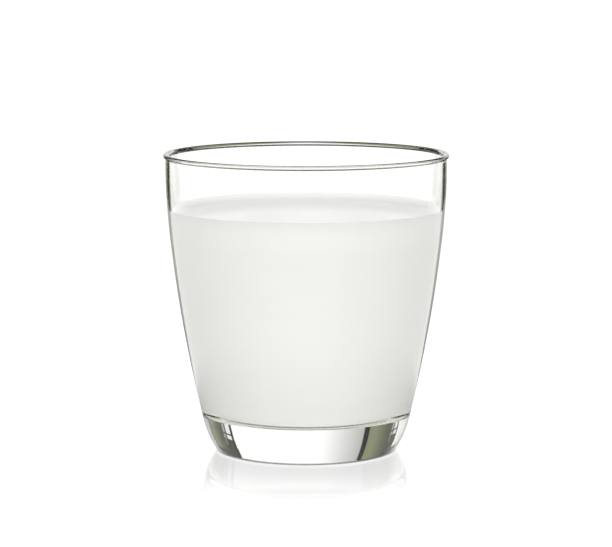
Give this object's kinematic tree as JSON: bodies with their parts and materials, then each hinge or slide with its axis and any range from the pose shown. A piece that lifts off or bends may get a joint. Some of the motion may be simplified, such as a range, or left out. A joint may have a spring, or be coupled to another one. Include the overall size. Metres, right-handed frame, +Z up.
{
  "type": "glass of milk",
  "caption": "Clear drinking tumbler with a beaded lip and a thick base, filled with milk to below its lip.",
  "frame": {"origin": "centre of the foot, at the height of the table", "axes": "+Z up along the glass's axis; the part is turned about Z, so X and Y are alike"},
  "size_m": [0.086, 0.086, 0.0898],
  "materials": {
    "glass": "polished clear, faint green",
    "milk": "smooth wet, opaque white"
  },
  "bodies": {
    "root": {"tumbler": "glass", "milk": "milk"}
  },
  "joints": []
}
